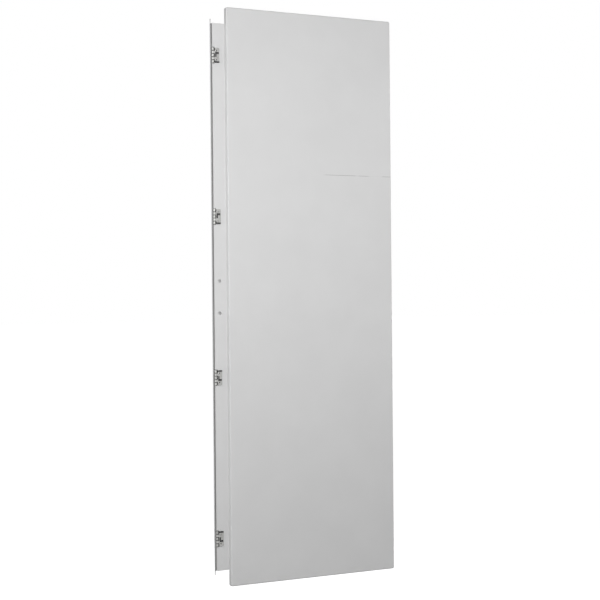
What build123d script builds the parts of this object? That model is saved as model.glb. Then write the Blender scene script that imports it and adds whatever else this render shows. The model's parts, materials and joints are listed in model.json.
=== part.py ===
from build123d import *

import os

# Sheet-steel cabinet door on its hinge rail, in millimetres. X runs to the right seen from
# the front, Y runs to the back and Z is up. The origin lies on the back of the hinge rail,
# halfway up, where the rail is bolted to a cabinet's upright.

# Leaf: a shallow tray folded from one sheet, open at the back
LEAF_WIDTH = 600.0
LEAF_HEIGHT = 1800.0
LEAF_DEPTH = 16.0
LEAF_SHEET = 2.0
EDGE_RADIUS = 4.0
CORNER_RADIUS = 6.0
RETURN_WIDTH = 24.0
MITRE_GAP = 0.8

# Stile: the set-back flange on the hinge side, spot-welded behind the leaf's return
STILE_HEIGHT = 1700.0
STILE_REACH = 42.0
STILE_SHEET = 2.0
STILE_LIP = 12.0
STILE_BEND = 2.0
STILE_HOLE_RADIUS = 5.5
STILE_HOLE_SPACING = 100.0
STILE_HOLE_INSET = 18.0

# Rail: the fixed angle behind the stile, with a locating tongue on each end of its outer edge
RAIL_LEG = 36.0
RAIL_WEB = 25.0
RAIL_SHEET = 3.0
RAIL_BEND = 3.0
RAIL_PROUD = 2.0
RAIL_GAP = 8.0
RAIL_HOLE_RADIUS = 3.5
RAIL_HOLE_SPACING = 1000.0
RAIL_END_HOLE_INSET = 30.0
TONGUE_WIDTH = 2.5
TONGUE_LENGTH = 14.0

# Rubber strip on the rail's face, beside the hinges' base plates
RUBBER_WIDTH = 4.0
RUBBER_THICKNESS = 1.5
RUBBER_INSET = 1.0

# Hinges: five knuckles each, alternately on the rail and on the stile
HINGE_COUNT = 4
HINGE_SPACING = 500.0
HINGE_HEIGHT = 46.0
KNUCKLE_COUNT = 5
BARREL_RADIUS = 3.5
AXIS_INSET = 2.5
PIN_RADIUS = 2.0
PIN_CLEARANCE = 0.05
PIN_HEAD_RADIUS = 3.0
PIN_HEAD_HEIGHT = 1.5
PIN_END_PLAY = 0.3
WASHER_RADIUS = 3.1
WASHER_SIDES = 16
WASHER_THICKNESS = 2.0
WASHER_PLAY = 0.15
PLATE_WIDTH = 15.0
PLATE_THICKNESS = 3.0
PLATE_CORNER = 3.0
BASE_WIDTH = 22.0
BASE_THICKNESS = 3.0
BASE_GAP = 0.5
ARM_FILLET = 2.5
NOTCH_CLEARANCE = 1.5
NOTCH_END_GAP = 3.0
CLIP_WIDTH = 12.0
CLIP_HEIGHT = 6.0
CLIP_RISE = 1.0
CLIP_OFFSET = 7.0
CLIP_PLAY = 0.1
CLIP_STEM_WIDTH = 4.0
CLIP_STEM_LENGTH = 9.0
PAD_HEIGHT = 4.5

# Stiffeners: two hat sections bonded to the back of the leaf's front sheet
STIFFENER_COUNT = 2
STIFFENER_CROWN = 40.0
STIFFENER_FOOT = 14.0
STIFFENER_DEPTH = 10.0
STIFFENER_SHEET = 1.5
STIFFENER_BEND = 1.5
STIFFENER_END_GAP = 12.0

# Earth stud on the back of the leaf, low on the hinge side
STUD_RADIUS = 4.0
STUD_LENGTH = 15.0
STUD_COLLAR_RADIUS = 6.0
STUD_COLLAR = 1.5
STUD_INSET = 60.0
STUD_RAISE = 120.0

# Places that follow from the sizes above
rail_height = STILE_HEIGHT
rail_left = -RAIL_LEG / 2
rail_right = RAIL_LEG / 2
rail_front = -RAIL_SHEET
stile_left = rail_left + RAIL_PROUD
stile_front = rail_front - RAIL_GAP - STILE_SHEET
rubber_left = rail_left + RUBBER_INSET
rubber_right = rubber_left + RUBBER_WIDTH
leaf_left = stile_left + STILE_REACH
leaf_centre = leaf_left + LEAF_WIDTH / 2
leaf_back = stile_front
leaf_inside = leaf_back - LEAF_DEPTH + LEAF_SHEET
stile_right = leaf_left + RETURN_WIDTH
axis_x = stile_left + AXIS_INSET
axis_y = stile_front - PLATE_THICKNESS + BARREL_RADIUS
hinge_heights = [(i - (HINGE_COUNT - 1) / 2) * HINGE_SPACING for i in range(HINGE_COUNT)]
bore_radius = PIN_RADIUS + PIN_CLEARANCE
washer_slot = WASHER_THICKNESS + 2 * WASHER_PLAY
knuckle_length = (HINGE_HEIGHT - (KNUCKLE_COUNT - 1) * washer_slot) / KNUCKLE_COUNT

# Places in a hinge's own frame, whose origin is on the pin at the hinge's middle
stile_face = stile_front - axis_y
rail_face = rail_front - axis_y
base_left = rubber_right + BASE_GAP - axis_x
notch_edge = BARREL_RADIUS + NOTCH_CLEARANCE
plate_front = stile_face - PLATE_THICKNESS
plate_centre = notch_edge + PLATE_WIDTH / 2
pad_top = PAD_HEIGHT + CLIP_PLAY - HINGE_HEIGHT / 2


def slab(x, y, z):
    """Block between two corners on each axis: x, y and z are (low, high) pairs."""
    size = [high - low for low, high in (x, y, z)]
    middle = [(low + high) / 2 for low, high in (x, y, z)]
    return Pos(*middle) * Box(*size)


def folded(points, sheet, bend, side, height):
    """Upright sheet profile: a bent line in plan, thickened to one side and drawn along Z."""
    line = FilletPolyline(*points, radius=bend)
    section = make_face(offset(line, sheet, side=side))
    return Pos(0, 0, -height / 2) * extrude(section, height, dir=(0, 0, 1))


def leaf_block(inset, depth, corner, back):
    """Rounded upright block of the leaf's outline, drawn forward from its back plane."""
    plane = Plane((leaf_centre, back, 0), x_dir=(1, 0, 0), z_dir=(0, -1, 0))
    width = LEAF_WIDTH - 2 * inset
    height = LEAF_HEIGHT - 2 * inset
    return extrude(plane * RectangleRounded(width, height, corner), depth)


def round_front(block, radius):
    """Rounds the edges around a block's front face."""
    return fillet(block.faces().sort_by(Axis.Y)[0].edges(), radius)


def leaf_tray():
    """Front sheet with its four folded sides and the returns folded in behind them."""
    outside = round_front(leaf_block(0, LEAF_DEPTH, CORNER_RADIUS, leaf_back), EDGE_RADIUS)
    hollow = leaf_block(
        LEAF_SHEET, LEAF_DEPTH - 2 * LEAF_SHEET, CORNER_RADIUS - LEAF_SHEET, leaf_back - LEAF_SHEET
    )
    hollow = round_front(hollow, EDGE_RADIUS - LEAF_SHEET)
    window = leaf_block(RETURN_WIDTH, LEAF_SHEET, LEAF_SHEET, leaf_back)
    tray = outside - hollow - window
    reach = RETURN_WIDTH - CORNER_RADIUS
    for across in (-1, 1):
        for up in (-1, 1):
            slit = Rot(0, -45 * across * up, 0) * Box(reach * 2**0.5, LEAF_SHEET, MITRE_GAP)
            x = leaf_centre + across * (LEAF_WIDTH / 2 - RETURN_WIDTH + reach / 2)
            z = up * (LEAF_HEIGHT / 2 - RETURN_WIDTH + reach / 2)
            tray -= Pos(x, leaf_back - LEAF_SHEET / 2, z) * slit
    return tray


def hinge_stile():
    """Angle whose flat carries the hinges and whose lip stiffens it behind the leaf."""
    flat_end = (stile_left, stile_front)
    corner = (stile_right, stile_front)
    lip_end = (stile_right, stile_front + STILE_LIP)
    bend = STILE_BEND + STILE_SHEET
    stile = folded((flat_end, corner, lip_end), STILE_SHEET, bend, Side.LEFT, STILE_HEIGHT)
    through = (stile_front - STILE_SHEET, stile_front + 2 * STILE_SHEET)
    notch_half = HINGE_HEIGHT / 2 + NOTCH_END_GAP
    for z in hinge_heights:
        across = (stile_left - NOTCH_CLEARANCE, axis_x + notch_edge)
        stile -= slab(across, through, (z - notch_half, z + notch_half))
    for up in (-1, 1):
        drill = Rot(90, 0, 0) * Cylinder(STILE_HOLE_RADIUS, 4 * STILE_SHEET)
        stile -= Pos(stile_left + STILE_HOLE_INSET, stile_front, up * STILE_HOLE_SPACING / 2) * drill
    return stile


def hinge_rail():
    """Fixed angle with bolt holes in one line down its front leg and a tongue on both ends."""
    leg_end = (rail_left, rail_front)
    corner = (rail_right, rail_front)
    web_end = (rail_right, rail_front + RAIL_WEB)
    bend = RAIL_BEND + RAIL_SHEET
    rail = folded((leg_end, corner, web_end), RAIL_SHEET, bend, Side.LEFT, rail_height)
    for half_spacing in (RAIL_HOLE_SPACING / 2, rail_height / 2 - RAIL_END_HOLE_INSET):
        for up in (-1, 1):
            drill = Rot(90, 0, 0) * Cylinder(RAIL_HOLE_RADIUS, 4 * RAIL_SHEET)
            rail -= Pos(0, rail_front, up * half_spacing) * drill
    across = (rail_left, rail_left + TONGUE_WIDTH)
    tongue = slab(across, (rail_front, 0), (rail_height / 2, rail_height / 2 + TONGUE_LENGTH))
    return rail + tongue + mirror(tongue, Plane.XY)


def rubber_strip():
    """Flat strip down the rail's face near its outer edge."""
    deep = (rail_front - RUBBER_THICKNESS, rail_front)
    return slab((rubber_left, rubber_right), deep, (-rail_height / 2, rail_height / 2))


def knuckles(section, first):
    """Every second knuckle of a hinge, drawn from one plan section and not yet bored for the pin."""
    made = []
    for i in range(first, KNUCKLE_COUNT, 2):
        low = -HINGE_HEIGHT / 2 + i * (knuckle_length + washer_slot)
        made.append(Pos(0, 0, low) * extrude(section, knuckle_length, dir=(0, 0, 1)))
    return made


def hinge_base():
    """Fixed half: a base plate on the rail with arms that reach forward to its knuckles."""
    base_low = rail_face - BASE_THICKNESS
    across = (base_left, base_left + BASE_WIDTH)
    base = slab(across, (base_low, rail_face), (-HINGE_HEIGHT / 2, HINGE_HEIGHT / 2))
    ends = base.faces().sort_by(Axis.X)[-1].edges().filter_by(Axis.Y)
    base = fillet(ends, PLATE_CORNER)
    arm = make_face(
        Polyline(
            (base_left, 0),
            (BARREL_RADIUS, 0),
            (BARREL_RADIUS, base_low),
            (BARREL_RADIUS + 2 * ARM_FILLET, base_low),
            (BARREL_RADIUS + 2 * ARM_FILLET, rail_face),
            (base_left, rail_face),
            close=True,
        )
    )
    arm = fillet(arm.vertices().sort_by_distance((BARREL_RADIUS, base_low))[0], ARM_FILLET)
    for knuckle in knuckles(arm + Circle(BARREL_RADIUS), 0):
        base += knuckle
    return base - Cylinder(bore_radius, 2 * HINGE_HEIGHT)


def hinge_plate():
    """Moving half: a plate on the stile, with a window for the clip and its own knuckles."""
    across = (notch_edge, notch_edge + PLATE_WIDTH)
    plate = slab(across, (plate_front, stile_face), (pad_top, HINGE_HEIGHT / 2))
    ends = plate.faces().sort_by(Axis.X)[-1].edges().filter_by(Axis.Y).sort_by(Axis.Z)
    plate = fillet(ends[-1], PLATE_CORNER)
    root = Line((notch_edge, plate_front), (notch_edge, stile_face))
    neck = make_hull([*Circle(BARREL_RADIUS).edges(), root])
    for knuckle in knuckles(neck, 1):
        plate += knuckle
    plate -= extrude(clip_outline(CLIP_PLAY), PLATE_THICKNESS)
    return plate - Cylinder(bore_radius, 2 * HINGE_HEIGHT)


def clip_outline(play):
    """Outline of the clip on the stile's face, a bar with a stem at its left, grown all round."""
    face = Plane((0, stile_face, 0), x_dir=(1, 0, 0), z_dir=(0, -1, 0))
    bar = Pos(plate_centre, CLIP_OFFSET) * Rectangle(CLIP_WIDTH + 2 * play, CLIP_HEIGHT + 2 * play)
    stem_x = plate_centre - (CLIP_WIDTH - CLIP_STEM_WIDTH) / 2
    stem_top = CLIP_OFFSET - CLIP_HEIGHT / 2
    stem = Rectangle(CLIP_STEM_WIDTH + 2 * play, CLIP_STEM_LENGTH + 2 * play)
    return face * (bar + Pos(stem_x, stem_top - CLIP_STEM_LENGTH / 2) * stem)


def hinge_clip():
    """Dark clip that stands in the plate's window and a little proud of it."""
    clip = extrude(clip_outline(0), PLATE_THICKNESS + CLIP_RISE)
    return chamfer(clip.faces().sort_by(Axis.Y)[0].edges(), CLIP_RISE / 2)


def hinge_pad():
    """Dark pad on the stile that closes off the plate's lower end."""
    across = (notch_edge, notch_edge + PLATE_WIDTH)
    up = (-HINGE_HEIGHT / 2, -HINGE_HEIGHT / 2 + PAD_HEIGHT)
    pad = slab(across, (plate_front - CLIP_RISE, stile_face), up)
    return chamfer(pad.faces().sort_by(Axis.Y)[0].edges(), CLIP_RISE / 2)


def hinge_pin():
    """Pin with a low tapered head on both ends of the barrel."""
    length = HINGE_HEIGHT + 2 * PIN_END_PLAY
    head = Cone(PIN_HEAD_RADIUS, PIN_RADIUS, PIN_HEAD_HEIGHT)
    head = Pos(0, 0, (length + PIN_HEAD_HEIGHT) / 2) * head
    return Cylinder(PIN_RADIUS, length) + head + mirror(head, Plane.XY)


def hinge_washers():
    """Many-sided rings on the pin between the knuckles."""
    hole = RegularPolygon(bore_radius, WASHER_SIDES, major_radius=False)
    ring = extrude(RegularPolygon(WASHER_RADIUS, WASHER_SIDES) - hole, WASHER_THICKNESS / 2, both=True)
    step = knuckle_length + washer_slot
    first = -HINGE_HEIGHT / 2 + knuckle_length + washer_slot / 2
    return Compound([Pos(0, 0, first + i * step) * ring for i in range(KNUCKLE_COUNT - 1)])


def stiffener(x):
    """Hat section standing on the inside of the front sheet, centred on x."""
    half = STIFFENER_CROWN / 2
    crown = leaf_inside + STIFFENER_DEPTH
    points = (
        (x - half - STIFFENER_FOOT, leaf_inside),
        (x - half, leaf_inside),
        (x - half, crown - STIFFENER_SHEET),
        (x + half, crown - STIFFENER_SHEET),
        (x + half, leaf_inside),
        (x + half + STIFFENER_FOOT, leaf_inside),
    )
    height = LEAF_HEIGHT - 2 * (RETURN_WIDTH + STIFFENER_END_GAP)
    return folded(points, STIFFENER_SHEET, STIFFENER_BEND, Side.LEFT, height)


def earth_stud():
    """Welded stud with a low collar, standing on the inside of the front sheet."""
    collar = Cylinder(STUD_COLLAR_RADIUS, STUD_COLLAR, align=(Align.CENTER, Align.CENTER, Align.MIN))
    shank = Cylinder(STUD_RADIUS, STUD_LENGTH, align=(Align.CENTER, Align.CENTER, Align.MIN))
    shank = chamfer(shank.faces().sort_by(Axis.Z)[-1].edges(), STUD_RADIUS / 5)
    place = Pos(leaf_left + STUD_INSET, leaf_inside, STUD_RAISE - LEAF_HEIGHT / 2)
    return place * Rot(-90, 0, 0) * (collar + shank)


def at_hinge(piece, z):
    """Puts a hinge piece at its height, the lower hinges as mirror images of the upper ones."""
    turned = piece if z > 0 else mirror(piece, Plane.XY)
    return Pos(axis_x, axis_y, z) * turned


nodes = {
    "leaf_tray": leaf_tray(),
    "hinge_stile": hinge_stile(),
    "hinge_rail": hinge_rail(),
    "rubber_strip": rubber_strip(),
    "earth_stud": earth_stud(),
}
for i in range(STIFFENER_COUNT):
    bay = LEAF_WIDTH / (STIFFENER_COUNT + 1)
    nodes[f"stiffener_{i + 1}"] = stiffener(leaf_left + (i + 1) * bay)
for makes in (hinge_base, hinge_plate, hinge_clip, hinge_pad, hinge_pin, hinge_washers):
    piece = makes()
    for number, z in enumerate(reversed(hinge_heights), start=1):
        nodes[f"{makes.__name__}_{number}"] = at_hinge(piece, z)

os.makedirs("parts", exist_ok=True)
for name, shape in nodes.items():
    export_step(shape, f"parts/{name}.step")
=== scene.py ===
"""Dresses the cabinet door's solids, adds its small parts, and sets up the studio and the camera."""

import json
import math
import random

import bmesh
import bpy
from mathutils import Euler, Matrix, Vector


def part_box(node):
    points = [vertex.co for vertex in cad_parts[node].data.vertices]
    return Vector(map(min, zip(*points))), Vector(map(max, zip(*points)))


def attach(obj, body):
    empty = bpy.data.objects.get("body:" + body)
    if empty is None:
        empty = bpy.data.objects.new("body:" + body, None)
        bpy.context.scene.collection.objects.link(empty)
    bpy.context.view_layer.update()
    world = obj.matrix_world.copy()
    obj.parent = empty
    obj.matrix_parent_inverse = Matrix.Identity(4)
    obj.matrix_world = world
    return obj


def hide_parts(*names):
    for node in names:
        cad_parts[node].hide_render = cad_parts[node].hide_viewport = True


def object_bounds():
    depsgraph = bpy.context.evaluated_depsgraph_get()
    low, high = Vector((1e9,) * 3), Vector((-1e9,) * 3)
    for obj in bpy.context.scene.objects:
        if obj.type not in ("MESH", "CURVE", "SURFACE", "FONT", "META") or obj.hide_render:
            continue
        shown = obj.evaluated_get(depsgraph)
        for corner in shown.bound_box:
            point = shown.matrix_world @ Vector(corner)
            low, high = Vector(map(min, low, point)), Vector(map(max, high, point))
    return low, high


MM = 0.001
HINGES = range(1, 5)
STIFFENERS = range(1, 3)
WHITE = (1.0, 1.0, 1.0, 1.0)

# Camera, fitted to the edges of the door in the photograph, with its turns in degrees
CAMERA_PLACE = Vector((-2.1199, -4.3253, 0.0132))
CAMERA_LENS = 92.744
CAMERA_SENSOR = 36.0
CAMERA_YAW = 29.172
CAMERA_PITCH = -0.290
CAMERA_ROLL = 0.515

# Soft boxes: name, place, target, side, power, and whether shiny surfaces mirror them
SOFT_BOXES = (
    ("key", (-0.45, -1.5, 0.5), (0.1, 0, 0.4), 1.7, 12.8, True),
    ("fill", (-0.4, -3.0, 0.8), (0.2, 0, 0.3), 2.4, 30.0, False),
    ("right", (1.6, -1.2, 0.5), (0.5, 0, 0.4), 1.4, 6.6, True),
    ("side", (-2.6, -0.9, 0.5), (0.0, 0, 0.0), 1.6, 28.0, True),
    ("back", (1.5, 2.4, 0.9), (0.3, 0, 0.0), 3.2, 64.0, True),
)

# Light from all round, and the kinds of ray that see a white background instead
AMBIENT = 0.18
SEEN_RAYS = ("Is Camera Ray", "Is Glossy Ray", "Is Transmission Ray")

# Floor below the door, with a glow that grows from a near to a far distance
FLOOR_DROP = 0.40
FLOOR_REACH = 60.0
FLOOR_GREY = 0.4
FLOOR_ROUGHNESS = 0.9
FLOOR_NEAR = 0.9
FLOOR_FAR = 2.4
FLOOR_GLOW_NEAR = 0.54
FLOOR_GLOW_GROWTH = 0.40

# Part of a noise's range that a colour ramp spreads over
RAMP_START = 0.3
RAMP_END = 0.7

# Powder coat and its orange-peel skin
COAT_ROUGHNESS = 0.5
SKIN_SCALE = 900.0
SKIN_DEPTH = 0.08 * MM
SKIN_STRENGTH = 0.5

# Fine line across the right part of the leaf's face, with its strength along X
LINE_HEIGHT = 0.3893
LINE_HALF_WIDTH = 0.6 * MM
LINE_BEHIND_FACE = 1 * MM
LINE_GREY = 0.24
LINE_GROOVE = 2.0
LINE_LEFT = 0.36
LINE_RIGHT = 0.63
LINE_STRENGTH = (
    (0.366, 0.0),
    (0.380, 0.75),
    (0.400, 1.0),
    (0.487, 1.0),
    (0.493, 0.35),
    (0.499, 0.35),
    (0.505, 1.0),
    (0.532, 1.0),
    (0.545, 0.1),
    (0.588, 0.1),
    (0.596, 1.0),
)

# Hinge screws, with the turn in radians from one hinge's screws to the next
SCREW_SPACING = 28 * MM
SCREW_HEAD_RADIUS = 3.5 * MM
SCREW_HEAD_HEIGHT = 2.2 * MM
SCREW_SIDES = 32
SCREW_TURN = 0.35
DOME_STEPS = 10
DOME_FULLNESS = 0.45
SOCKET_RADIUS = 2.0 * MM
SOCKET_DEPTH = 1.9 * MM
SOCKET_SIDES = 6
PLATE_SCREW_INSET = 10.5 * MM
PLATE_THICKNESS = 3 * MM
BASE_SCREW_INSET = 9.5 * MM
BASE_THICKNESS = 3 * MM

# Earth stud with its thread, which has a few rows of points to a pitch
STUD_RADIUS = 4.0 * MM
STUD_ROOT_RADIUS = 3.3 * MM
STUD_SIDES = 28
THREAD_PITCH = 1.25 * MM
THREAD_ROWS = 4
COLLAR_RADIUS = 6.0 * MM
COLLAR_HEIGHT = 1.5 * MM
COLLAR_STRAIGHT_SHARE = 0.6

# Spot welds between the stile and the leaf's return, with a profile in shares of radius and rim
WELD_RADIUS = 3.2 * MM
WELD_RIM_HEIGHT = 0.25 * MM
WELD_PROFILE = ((1.0, 0.0), (0.85, 1.0), (0.70, 0.9), (0.55, 0.25), (0.10, 0.1))
WELD_SIDES = 24
WELD_SPACING = 100 * MM
WELD_COUNT = 17
RETURN_WIDTH = 24 * MM
SHEET_THICKNESS = 2 * MM

# Bonding bead along the feet of the stiffeners, with a thickness that varies along it
BEAD_RADIUS = 1.3 * MM
BEAD_LEAST_SHARE = 0.75
BEAD_SPREAD = 0.5
BEAD_STEP = 12 * MM
BEAD_ARC_STEPS = 6
BEAD_SEED = 7

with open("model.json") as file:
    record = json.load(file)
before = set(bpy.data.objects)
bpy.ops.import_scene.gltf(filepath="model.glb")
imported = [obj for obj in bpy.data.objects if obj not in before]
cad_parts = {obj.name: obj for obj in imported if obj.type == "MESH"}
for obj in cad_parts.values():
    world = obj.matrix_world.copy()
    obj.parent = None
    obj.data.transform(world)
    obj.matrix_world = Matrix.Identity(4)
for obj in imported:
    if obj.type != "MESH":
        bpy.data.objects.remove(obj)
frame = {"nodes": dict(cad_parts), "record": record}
CAD_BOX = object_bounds()
nodes = frame["nodes"]
scene = bpy.context.scene


def grey(level):
    """Plain grey as a colour."""
    return (level, level, level)


def node_material(name, roughness, metallic=0.0):
    """New material with its tree, its shader and a texture coordinate in metres."""
    material = bpy.data.materials.new(name)
    material.use_nodes = True
    tree = material.node_tree
    shader = tree.nodes["Principled BSDF"]
    shader.inputs["Roughness"].default_value = roughness
    shader.inputs["Metallic"].default_value = metallic
    place = tree.nodes.new("ShaderNodeTexCoord").outputs["Object"]
    return material, tree, shader, place


def calc(tree, operation, *values):
    """Math node on sockets or plain numbers."""
    made = tree.nodes.new("ShaderNodeMath")
    made.operation = operation
    for socket, value in zip(made.inputs, values):
        if isinstance(value, (int, float)):
            socket.default_value = value
        else:
            tree.links.new(value, socket)
    return made.outputs[0]


def fade(tree, value, start, end):
    """Runs smoothly from 0 to 1 as a value runs from start to end."""
    made = tree.nodes.new("ShaderNodeMapRange")
    made.interpolation_type = "SMOOTHSTEP"
    made.inputs["From Min"].default_value = start
    made.inputs["From Max"].default_value = end
    tree.links.new(value, made.inputs["Value"])
    return made.outputs["Result"]


def noise(tree, place, scale, detail=2.0):
    """Noise of about 1 / scale metres from one bump to the next."""
    made = tree.nodes.new("ShaderNodeTexNoise")
    made.inputs["Scale"].default_value = scale
    made.inputs["Detail"].default_value = detail
    tree.links.new(place, made.inputs["Vector"])
    return made.outputs["Fac"]


def ramp(tree, factor, low, high):
    """Colour that runs from low to high as a factor runs through its middle range."""
    made = tree.nodes.new("ShaderNodeValToRGB")
    first, last = made.color_ramp.elements
    first.position = RAMP_START
    last.position = RAMP_END
    first.color = (*low, 1.0)
    last.color = (*high, 1.0)
    tree.links.new(factor, made.inputs["Fac"])
    return made.outputs["Color"]


def mixed(tree, factor, first, second):
    """Colour mixed from a colour socket towards a plain colour."""
    made = tree.nodes.new("ShaderNodeMix")
    made.data_type = "RGBA"
    tree.links.new(factor, made.inputs["Factor"])
    tree.links.new(first, made.inputs["A"])
    made.inputs["B"].default_value = (*second, 1.0)
    return made.outputs["Result"]


def bump(tree, shader, height, depth, strength):
    """Surface relief of a given depth in metres."""
    made = tree.nodes.new("ShaderNodeBump")
    made.inputs["Strength"].default_value = strength
    made.inputs["Distance"].default_value = depth
    tree.links.new(height, made.inputs["Height"])
    tree.links.new(made.outputs["Normal"], shader.inputs["Normal"])


def cloudy(tree, shader, factor, low, high):
    """Gives a shader a base colour that follows a factor from low to high."""
    tree.links.new(ramp(tree, factor, low, high), shader.inputs["Base Color"])


def coat_colour(tree, place):
    """Light grey with a faint cloudiness."""
    return ramp(tree, noise(tree, place, scale=9.0), grey(0.655), grey(0.675))


def powder_coat():
    """Light grey powder coat with a fine orange-peel skin."""
    material, tree, shader, place = node_material("powder_coat", COAT_ROUGHNESS)
    tree.links.new(coat_colour(tree, place), shader.inputs["Base Color"])
    bump(tree, shader, noise(tree, place, SKIN_SCALE), SKIN_DEPTH, SKIN_STRENGTH)
    return material


def line_strength(tree, x):
    """How dark the fine line is along its run, with the places where it fades."""
    along = tree.nodes.new("ShaderNodeMapRange")
    along.inputs["From Min"].default_value = LINE_LEFT
    along.inputs["From Max"].default_value = LINE_RIGHT
    tree.links.new(x, along.inputs["Value"])
    made = tree.nodes.new("ShaderNodeValToRGB")
    stops = made.color_ramp.elements
    while len(stops) < len(LINE_STRENGTH):
        stops.new(0.5)
    for stop, (run, strength) in zip(stops, LINE_STRENGTH):
        stop.position = (run - LINE_LEFT) / (LINE_RIGHT - LINE_LEFT)
        stop.color = (*grey(strength), 1.0)
    tree.links.new(along.outputs["Result"], made.inputs["Fac"])
    return made.outputs["Color"]


def marked_coat():
    """The same powder coat with a fine dark line, slightly sunk, across the right part of the leaf's face."""
    material, tree, shader, place = node_material("powder_coat_marked", COAT_ROUGHNESS)
    split = tree.nodes.new("ShaderNodeSeparateXYZ")
    tree.links.new(place, split.inputs[0])
    x, y, z = split.outputs
    off = calc(tree, "ABSOLUTE", calc(tree, "SUBTRACT", z, LINE_HEIGHT))
    mask = fade(tree, off, LINE_HALF_WIDTH, LINE_HALF_WIDTH / 2)
    mask = calc(tree, "MULTIPLY", mask, line_strength(tree, x))
    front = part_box("leaf_tray")[0].y + LINE_BEHIND_FACE
    mask = calc(tree, "MULTIPLY", mask, calc(tree, "LESS_THAN", y, front))
    colour = mixed(tree, mask, coat_colour(tree, place), grey(LINE_GREY))
    tree.links.new(colour, shader.inputs["Base Color"])
    groove = calc(tree, "MULTIPLY", mask, LINE_GROOVE)
    skin = calc(tree, "SUBTRACT", noise(tree, place, SKIN_SCALE), groove)
    bump(tree, shader, skin, SKIN_DEPTH, SKIN_STRENGTH)
    return material


def zinc_plate(name, roughness, low, high):
    """Zinc plating with faint cloudy stains."""
    material, tree, shader, place = node_material(name, roughness, metallic=1.0)
    cloudy(tree, shader, noise(tree, place, scale=160.0, detail=4.0), low, high)
    bump(tree, shader, noise(tree, place, scale=1500.0), depth=0.03 * MM, strength=0.4)
    return material


def pin_steel():
    """Drawn steel of the hinge pins."""
    material, tree, shader, place = node_material("pin_steel", roughness=0.28, metallic=1.0)
    cloudy(tree, shader, noise(tree, place, scale=300.0), grey(0.30), (0.40, 0.40, 0.39))
    return material


def galvanised_sheet():
    """Zinc-coated sheet with its large frosty crystals."""
    material, tree, shader, place = node_material("galvanised_sheet", roughness=0.5, metallic=0.4)
    cells = tree.nodes.new("ShaderNodeTexVoronoi")
    cells.inputs["Scale"].default_value = 90.0
    tree.links.new(place, cells.inputs["Vector"])
    cloudy(tree, shader, cells.outputs["Color"], (0.36, 0.38, 0.39), (0.50, 0.52, 0.53))
    return material


def black_nylon():
    """Matt black moulded nylon."""
    material, tree, shader, place = node_material("black_nylon", roughness=0.55)
    clouds = noise(tree, place, scale=700.0)
    cloudy(tree, shader, clouds, (0.016, 0.016, 0.017), (0.028, 0.028, 0.029))
    bump(tree, shader, noise(tree, place, scale=2500.0), depth=0.03 * MM, strength=0.4)
    return material


def foam_rubber_and_gap_shade():
    """Dark foam rubber with a porous skin; on the seal strip behind the stile its darkness is partly its own
    colour and partly painted shade for the gap there.
    """
    material, tree, shader, place = node_material("foam_rubber_and_gap_shade", roughness=0.85)
    cloudy(tree, shader, noise(tree, place, scale=800.0, detail=4.0), grey(0.32), grey(0.40))
    pores = noise(tree, place, scale=1800.0, detail=4.0)
    bump(tree, shader, pores, depth=0.2 * MM, strength=0.6)
    return material


def copper_flash():
    """Thin copper plating of a weld stud."""
    material, tree, shader, place = node_material("copper_flash", roughness=0.38, metallic=1.0)
    clouds = noise(tree, place, scale=500.0, detail=4.0)
    cloudy(tree, shader, clouds, (0.50, 0.27, 0.16), (0.74, 0.44, 0.29))
    return material


def painted_socket_shade():
    """Dull, near-black painted shade inside a screw's socket, standing in for the shade of the recess."""
    material, tree, shader, place = node_material("painted_socket_shade", roughness=0.7)
    cloudy(tree, shader, noise(tree, place, scale=900.0), grey(0.03), (0.06, 0.06, 0.055))
    return material


def dress_nodes():
    """Gives every carried-over solid its finish."""
    finishes = {
        "paint": powder_coat(),
        "zinc": zinc_plate("zinc_plate", 0.36, (0.31, 0.31, 0.30), (0.43, 0.43, 0.42)),
        "steel_pin": pin_steel(),
        "galvanised": galvanised_sheet(),
        "black_plastic": black_nylon(),
        # Seal rubber: partly its own dark grey, partly painted shade in the gap behind the stile.
        "rubber": foam_rubber_and_gap_shade(),
        "copper_plate": copper_flash(),
    }
    for part in frame["record"]["subparts"]:
        piece = nodes[part["node"]]
        piece.data.materials.clear()
        piece.data.materials.append(finishes[part["material_slot"]])
    nodes["leaf_tray"].data.materials[0] = marked_coat()
    return finishes


def put_piece(name, mesh):
    """Links a mesh as a piece of the object."""
    piece = bpy.data.objects.new(name, mesh)
    scene.collection.objects.link(piece)
    return piece


def finished_mesh(work, name, material, smooth=True):
    """Mesh made from a bmesh, with one material."""
    bmesh.ops.recalc_face_normals(work, faces=work.faces)
    mesh = bpy.data.meshes.new(name)
    work.to_mesh(mesh)
    work.free()
    mesh.materials.append(material)
    for face in mesh.polygons:
        face.use_smooth = smooth
    return mesh


def polar_ring(work, radii, height):
    """Ring of points about Z at one height, with a point for each radius."""
    ring = []
    for k, radius in enumerate(radii):
        angle = 2 * math.pi * k / len(radii)
        ring.append(work.verts.new((radius * math.cos(angle), radius * math.sin(angle), height)))
    return ring


def join_rings(work, rings):
    """Closed skin over rings of points: faces from each ring to the next, and one over each end."""
    for first, second in zip(rings, rings[1:]):
        for k in range(len(first)):
            following = (k + 1) % len(first)
            work.faces.new((first[k], first[following], second[following], second[k]))
    work.faces.new(list(reversed(rings[0])))
    work.faces.new(rings[-1])


def lathe(work, outline, sides):
    """Turns an outline of (radius, height) points about Z into a closed form, and returns its points."""
    rings = [polar_ring(work, [radius] * sides, height) for radius, height in outline]
    join_rings(work, rings)
    return [point for ring in rings for point in ring]


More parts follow.
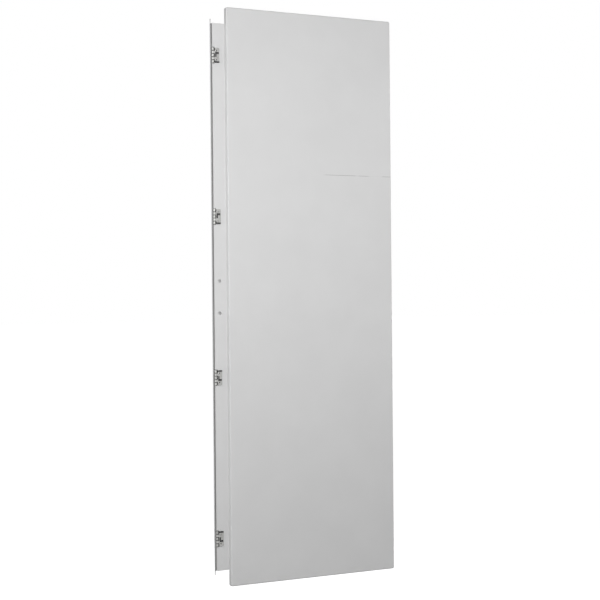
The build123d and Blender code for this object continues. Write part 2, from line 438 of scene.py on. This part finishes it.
def screw_mesh(material):
    """Low domed screw head, standing along +Z, with a hexagon socket cut into it."""
    dome = []
    for i in range(DOME_STEPS):
        turn = math.pi / 2 * i / DOME_STEPS
        radius = SCREW_HEAD_RADIUS * math.cos(turn) ** DOME_FULLNESS
        dome.append((radius, SCREW_HEAD_HEIGHT * math.sin(turn)))
    work = bmesh.new()
    lathe(work, dome, SCREW_SIDES)
    head = bpy.data.objects.new("head", finished_mesh(work, "head", material))
    scene.collection.objects.link(head)
    bottom = SCREW_HEAD_HEIGHT - SOCKET_DEPTH
    socket = bmesh.new()
    lathe(socket, ((SOCKET_RADIUS, bottom), (SOCKET_RADIUS, 2 * SCREW_HEAD_HEIGHT)), SOCKET_SIDES)
    # The socket's faces take the near-black material, which is painted shade in the recess.
    cutter = bpy.data.objects.new("socket", finished_mesh(socket, "socket", painted_socket_shade(), False))
    scene.collection.objects.link(cutter)
    cut = head.modifiers.new("socket", "BOOLEAN")
    cut.operation = "DIFFERENCE"
    cut.object = cutter
    cut.material_mode = "TRANSFER"
    shaped = bpy.data.meshes.new_from_object(head.evaluated_get(bpy.context.evaluated_depsgraph_get()))
    shaped.name = "screw"
    bpy.data.objects.remove(head)
    bpy.data.objects.remove(cutter)
    return shaped


def add_screws():
    """Two screws on each hinge plate and two on each base behind it, all facing the front."""
    mesh = screw_mesh(zinc_plate("bright_zinc", 0.3, (0.42, 0.42, 0.41), (0.52, 0.52, 0.51)))
    stile_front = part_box("hinge_stile")[0].y
    rail_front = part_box("hinge_rail")[0].y
    for number in HINGES:
        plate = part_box(f"hinge_plate_{number}")[1]
        base_low, base_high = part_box(f"hinge_base_{number}")
        middle = (base_low.z + base_high.z) / 2
        places = {
            "plate": ("leaf", plate.x - PLATE_SCREW_INSET, stile_front - PLATE_THICKNESS),
            "base": ("rail", base_high.x - BASE_SCREW_INSET, rail_front - BASE_THICKNESS),
        }
        for half, (body, x, y) in places.items():
            for end, up in (("upper", 1), ("lower", -1)):
                screw = put_piece(f"{half}_screw_{number}_{end}", mesh)
                screw.location = (x, y, middle + up * SCREW_SPACING / 2)
                screw.rotation_euler = (math.pi / 2, SCREW_TURN * number + up, 0)
                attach(screw, body)


def thread_radius(height, turn, length):
    """Radius of the stud's thread at a height and a share of a turn, smaller near the stud's end."""
    depth = STUD_RADIUS - STUD_ROOT_RADIUS
    phase = ((height / THREAD_PITCH - turn) % 1.0) * 2 - 1
    taper = max(0.0, 1 - (length - height) / THREAD_PITCH)
    return STUD_RADIUS - depth * (1 - abs(phase)) - depth * taper


def add_earth_stud(finishes):
    """Stud with a helical thread above its collar, in place of the plain shank."""
    low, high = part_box("earth_stud")
    length = high.y - low.y
    work = bmesh.new()
    rim = COLLAR_STRAIGHT_SHARE * COLLAR_HEIGHT
    lathe(work, ((COLLAR_RADIUS, 0), (COLLAR_RADIUS, rim), (STUD_RADIUS, COLLAR_HEIGHT)), STUD_SIDES)
    rings = []
    steps = int((length - COLLAR_HEIGHT) / THREAD_PITCH * THREAD_ROWS)
    for i in range(steps + 1):
        height = COLLAR_HEIGHT + (length - COLLAR_HEIGHT) * i / steps
        radii = [thread_radius(height, k / STUD_SIDES, length) for k in range(STUD_SIDES)]
        rings.append(polar_ring(work, radii, height))
    join_rings(work, rings)
    stud = put_piece("threaded_stud", finished_mesh(work, "stud", finishes["copper_plate"]))
    stud.location = ((low.x + high.x) / 2, low.y, (low.z + high.z) / 2)
    stud.rotation_euler = (-math.pi / 2, 0, 0)
    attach(stud, "leaf")
    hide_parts("earth_stud")


def add_spot_welds(finishes):
    """Row of small electrode marks on the back of the stile, over the leaf's return."""
    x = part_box("leaf_tray")[0].x + RETURN_WIDTH / 2
    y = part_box("hinge_stile")[0].y + SHEET_THICKNESS
    outline = [(radius * WELD_RADIUS, rise * WELD_RIM_HEIGHT) for radius, rise in WELD_PROFILE]
    turn = Matrix.Rotation(-math.pi / 2, 4, "X")
    work = bmesh.new()
    for i in range(WELD_COUNT):
        points = lathe(work, outline, WELD_SIDES)
        z = (i - (WELD_COUNT - 1) / 2) * WELD_SPACING
        bmesh.ops.transform(work, matrix=Matrix.Translation((x, y, z)) @ turn, verts=points)
    welds = put_piece("stile_spot_welds", finished_mesh(work, "welds", finishes["paint"]))
    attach(welds, "leaf")


def add_bond_beads(finishes):
    """Uneven bead of bonding paste squeezed out along both feet of each stiffener."""
    chance = random.Random(BEAD_SEED)
    turns = [math.pi / 2 * k / BEAD_ARC_STEPS for k in range(BEAD_ARC_STEPS + 1)]
    for number in STIFFENERS:
        low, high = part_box(f"stiffener_{number}")
        count = int((high.z - low.z) / BEAD_STEP)
        work = bmesh.new()
        for edge, outward in ((low.x, -1), (high.x, 1)):
            rings = []
            for i in range(count + 1):
                size = BEAD_RADIUS * (BEAD_LEAST_SHARE + BEAD_SPREAD * chance.random())
                z = low.z + (high.z - low.z) * i / count
                points = [(edge + outward * size * math.cos(t), low.y + size * math.sin(t), z) for t in turns]
                points.append((edge, low.y, z))
                rings.append([work.verts.new(point) for point in points])
            join_rings(work, rings)
        bead = put_piece(f"bond_bead_{number}", finished_mesh(work, "bead", finishes["rubber"]))
        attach(bead, "leaf")


def seen_directly(tree):
    """1 for rays that show the background, straight or by gloss or glass, 0 for light on the object."""
    rays = tree.nodes.new("ShaderNodeLightPath")
    seen = rays.outputs[SEEN_RAYS[0]]
    for kind in SEEN_RAYS[1:]:
        seen = calc(tree, "MAXIMUM", seen, rays.outputs[kind])
    return seen


def add_floor():
    """Wide pale floor below the door, white where no shadow falls."""
    work = bmesh.new()
    bmesh.ops.create_grid(work, x_segments=1, y_segments=1, size=FLOOR_REACH)
    material, tree, shader, place = node_material("floor_pale", FLOOR_ROUGHNESS)
    shader.inputs["Base Color"].default_value = (*grey(FLOOR_GREY), 1.0)
    shader.inputs["Specular IOR Level"].default_value = 0.0
    shader.inputs["Emission Color"].default_value = WHITE
    reach = tree.nodes.new("ShaderNodeVectorMath")
    reach.operation = "LENGTH"
    tree.links.new(place, reach.inputs[0])
    far = fade(tree, reach.outputs["Value"], FLOOR_NEAR, FLOOR_FAR)
    glow = calc(tree, "MULTIPLY_ADD", far, FLOOR_GLOW_GROWTH, FLOOR_GLOW_NEAR)
    strength = calc(tree, "MULTIPLY", seen_directly(tree), glow)
    tree.links.new(strength, shader.inputs["Emission Strength"])
    floor = bpy.data.objects.new("floor", finished_mesh(work, "floor", material))
    floor.location = ((CAD_BOX[0].x + CAD_BOX[1].x) / 2, 0, CAD_BOX[0].z - FLOOR_DROP)
    scene.collection.objects.link(floor)


def add_world():
    """White where the camera or a reflection looks past the object, a soft grey light elsewhere."""
    world = bpy.data.worlds.new("studio")
    scene.world = world
    world.use_nodes = True
    tree = world.node_tree
    glow = tree.nodes["Background"]
    glow.inputs["Color"].default_value = WHITE
    strength = tree.nodes.new("ShaderNodeMapRange")
    strength.inputs["To Min"].default_value = AMBIENT
    strength.inputs["To Max"].default_value = 1.0
    tree.links.new(seen_directly(tree), strength.inputs["Value"])
    tree.links.new(strength.outputs["Result"], glow.inputs["Strength"])


def add_soft_box(name, place, target, side, power, mirrored):
    """Square lamp aimed at a point, mirrored in shiny surfaces or not."""
    data = bpy.data.lights.new(name, "AREA")
    data.size = side
    data.energy = power
    lamp = bpy.data.objects.new(name, data)
    lamp.visible_glossy = mirrored
    lamp.location = place
    lamp.rotation_euler = (Vector(target) - Vector(place)).to_track_quat("-Z", "Y").to_euler()
    scene.collection.objects.link(lamp)


def add_camera():
    """Camera at the photograph's viewing angle, rolled a little as there."""
    data = bpy.data.cameras.new("camera")
    data.lens = CAMERA_LENS
    data.sensor_width = CAMERA_SENSOR
    camera = bpy.data.objects.new("camera", data)
    scene.collection.objects.link(camera)
    aim = Euler((math.radians(90 + CAMERA_PITCH), 0, math.radians(-CAMERA_YAW))).to_matrix().to_4x4()
    roll = Matrix.Rotation(math.radians(-CAMERA_ROLL), 4, "Z")
    camera.matrix_world = Matrix.Translation(CAMERA_PLACE) @ aim @ roll
    scene.camera = camera


finishes = dress_nodes()
add_screws()
add_earth_stud(finishes)
add_spot_welds(finishes)
add_bond_beads(finishes)
add_floor()
add_world()
for soft_box in SOFT_BOXES:
    add_soft_box(*soft_box)
add_camera()
scene.view_settings.view_transform = "Standard"
